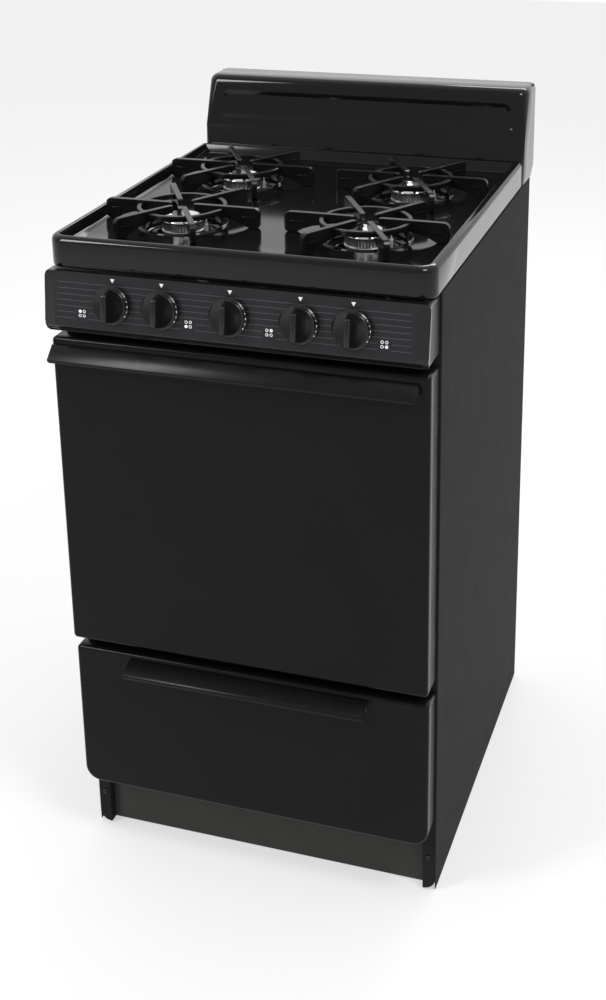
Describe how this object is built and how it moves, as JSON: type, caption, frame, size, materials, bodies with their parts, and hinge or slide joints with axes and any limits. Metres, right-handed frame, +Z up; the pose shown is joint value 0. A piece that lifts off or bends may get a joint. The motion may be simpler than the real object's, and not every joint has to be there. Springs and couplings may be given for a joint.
{
  "type": "freestanding gas range",
  "caption": "Narrow freestanding gas range with lift-up cooktop, star grates, drop-down oven door, broiler drawer, control knobs and sloped backguard.",
  "frame": {"origin": "on the floor under the middle of the whole range's box", "axes": "+X to the right, +Y to the back, +Z up; the door faces -Y"},
  "size_m": [0.508, 0.6686, 1.017],
  "materials": {
    "body_enamel": "gloss black enamel",
    "side_enamel": "semi-gloss charcoal enamel",
    "cooktop_enamel": "mirror gloss black porcelain enamel",
    "control_enamel": "gloss black with thin grey lines",
    "kick_paint": "dull dark brownish grey paint",
    "handle_plastic": "gloss black moulded",
    "knob_plastic": "gloss black moulded knob",
    "grate_enamel": "gloss black enamelled",
    "oven_enamel": "speckled blue-black porcelain enamel",
    "galvanised": "galvanised steel sheet",
    "bright_wire": "bright plated",
    "burner_aluminium": "machined cast aluminium",
    "cap_chrome": "polished",
    "brass_fitting": "plain brass",
    "plated_steel": "zinc plated",
    "ceramic_white": "unglazed white ceramic",
    "foot_plastic": "black",
    "fibre_blanket": "glass fibre blanket",
    "gasket_braid": "braided heat-proof seal"
  },
  "bodies": {
    "chassis": {"side_panel_left": "side_enamel", "side_panel_right": "side_enamel", "back_panel": "galvanised", "base_frame": "galvanised", "leveling_feet": "foot_plastic", "kick_plate": "kick_paint", "front_frame": "body_enamel", "oven_liner": "oven_enamel", "oven_bottom": "oven_enamel", "oven_burner": "plated_steel", "oven_gas_tube": "burner_aluminium", "insulation": "fibre_blanket", "flue_duct": "galvanised", "door_gasket": "gasket_braid", "burner_box": "galvanised", "manifold_pipe": "burner_aluminium", "burner_valves": "brass_fitting", "oven_thermostat": "brass_fitting", "gas_regulator": "burner_aluminium", "spark_module": "foot_plastic", "burner_tubes": "burner_aluminium", "burner_caps": "cap_chrome", "spark_electrodes": "ceramic_white", "control_panel": "control_enamel", "backguard_shell": "cooktop_enamel", "backguard_cover": "galvanised", "drawer_rails": "galvanised", "screws": "plated_steel", "cooktop_hinge_pins": "plated_steel", "burner_head_rear_left": "burner_aluminium", "burner_head_front_left": "burner_aluminium", "burner_head_rear_right": "burner_aluminium", "burner_head_front_right": "burner_aluminium"},
    "cooktop": {"cooktop": "cooktop_enamel"},
    "oven_door": {"door_outer_panel": "body_enamel", "door_inner_panel": "oven_enamel", "door_insulation": "fibre_blanket", "door_hinge_leaves": "plated_steel", "door_handle": "handle_plastic"},
    "broiler_drawer": {"drawer_front": "body_enamel", "drawer_handle": "handle_plastic", "drawer_box": "galvanised", "broiler_pan": "oven_enamel", "broiler_grid": "bright_wire"},
    "rack_lower": {"rack_lower": "bright_wire"},
    "rack_upper": {"rack_upper": "bright_wire"},
    "grate_rear_left": {"grate_rear_left": "grate_enamel"},
    "grate_front_left": {"grate_front_left": "grate_enamel"},
    "grate_rear_right": {"grate_rear_right": "grate_enamel"},
    "grate_front_right": {"grate_front_right": "grate_enamel"},
    "stem_rear_left": {"stem_rear_left": "plated_steel"},
    "knob_rear_left": {"knob_rear_left": "knob_plastic"},
    "stem_front_left": {"stem_front_left": "plated_steel"},
    "knob_front_left": {"knob_front_left": "knob_plastic"},
    "stem_oven": {"stem_oven": "plated_steel"},
    "knob_oven": {"knob_oven": "knob_plastic"},
    "stem_rear_right": {"stem_rear_right": "plated_steel"},
    "knob_rear_right": {"knob_rear_right": "knob_plastic"},
    "stem_front_right": {"stem_front_right": "plated_steel"},
    "knob_front_right": {"knob_front_right": "knob_plastic"}
  },
  "joints": [
    {"name": "cooktop_lift", "type": "hinge", "parent": "chassis", "child": "cooktop", "pos_m": [0, 0.23405, 0.911], "axis": [-1, 0, 0], "range_deg": [0, 35]},
    {"name": "door_swing", "type": "hinge", "parent": "chassis", "child": "oven_door", "pos_m": [0, -0.27895, 0.345], "axis": [1, 0, 0], "range_deg": [0, 90]},
    {"name": "drawer_slide", "type": "slide", "parent": "chassis", "child": "broiler_drawer", "axis": [0, -1, 0], "range_m": [0, 0.33]},
    {"name": "grate_lift_rear_left", "type": "slide", "parent": "cooktop", "child": "grate_rear_left", "axis": [0, 0, 1], "range_m": [0, 0.04]},
    {"name": "grate_lift_front_left", "type": "slide", "parent": "cooktop", "child": "grate_front_left", "axis": [0, 0, 1], "range_m": [0, 0.04]},
    {"name": "grate_lift_rear_right", "type": "slide", "parent": "cooktop", "child": "grate_rear_right", "axis": [0, 0, 1], "range_m": [0, 0.04]},
    {"name": "grate_lift_front_right", "type": "slide", "parent": "cooktop", "child": "grate_front_right", "axis": [0, 0, 1], "range_m": [0, 0.04]},
    {"name": "knob_push_rear_left", "type": "slide", "parent": "chassis", "child": "stem_rear_left", "axis": [0, 0.9903, -0.1392], "range_m": [0, 0.003], "stiffness_N_per_m": 800, "springref_m": -0.002},
    {"name": "knob_turn_rear_left", "type": "hinge", "parent": "stem_rear_left", "child": "knob_rear_left", "pos_m": [-0.158, -0.30395, 0.838], "axis": [0, -0.9903, 0.1392], "range_deg": [0, 230]},
    {"name": "knob_push_front_left", "type": "slide", "parent": "chassis", "child": "stem_front_left", "axis": [0, 0.9903, -0.1392], "range_m": [0, 0.003], "stiffness_N_per_m": 800, "springref_m": -0.002},
    {"name": "knob_turn_front_left", "type": "hinge", "parent": "stem_front_left", "child": "knob_front_left", "pos_m": [-0.091, -0.30395, 0.838], "axis": [0, -0.9903, 0.1392], "range_deg": [0, 230]},
    {"name": "knob_push_oven", "type": "slide", "parent": "chassis", "child": "stem_oven", "axis": [0, 0.9903, -0.1392], "range_m": [0, 0.003], "stiffness_N_per_m": 800, "springref_m": -0.002},
    {"name": "knob_turn_oven", "type": "hinge", "parent": "stem_oven", "child": "knob_oven", "pos_m": [0, -0.30395, 0.838], "axis": [0, -0.9903, 0.1392], "range_deg": [0, 300]},
    {"name": "knob_push_rear_right", "type": "slide", "parent": "chassis", "child": "stem_rear_right", "axis": [0, 0.9903, -0.1392], "range_m": [0, 0.003], "stiffness_N_per_m": 800, "springref_m": -0.002},
    {"name": "knob_turn_rear_right", "type": "hinge", "parent": "stem_rear_right", "child": "knob_rear_right", "pos_m": [0.091, -0.30395, 0.838], "axis": [0, -0.9903, 0.1392], "range_deg": [0, 230]},
    {"name": "knob_push_front_right", "type": "slide", "parent": "chassis", "child": "stem_front_right", "axis": [0, 0.9903, -0.1392], "range_m": [0, 0.003], "stiffness_N_per_m": 800, "springref_m": -0.002},
    {"name": "knob_turn_front_right", "type": "hinge", "parent": "stem_front_right", "child": "knob_front_right", "pos_m": [0.158, -0.30395, 0.838], "axis": [0, -0.9903, 0.1392], "range_deg": [0, 230]},
    {"name": "rack_slide_lower", "type": "slide", "parent": "chassis", "child": "rack_lower", "axis": [0, -1, 0], "range_m": [0, 0.012]},
    {"name": "rack_slide_upper", "type": "slide", "parent": "chassis", "child": "rack_upper", "axis": [0, -1, 0], "range_m": [0, 0.012]}
  ]
}
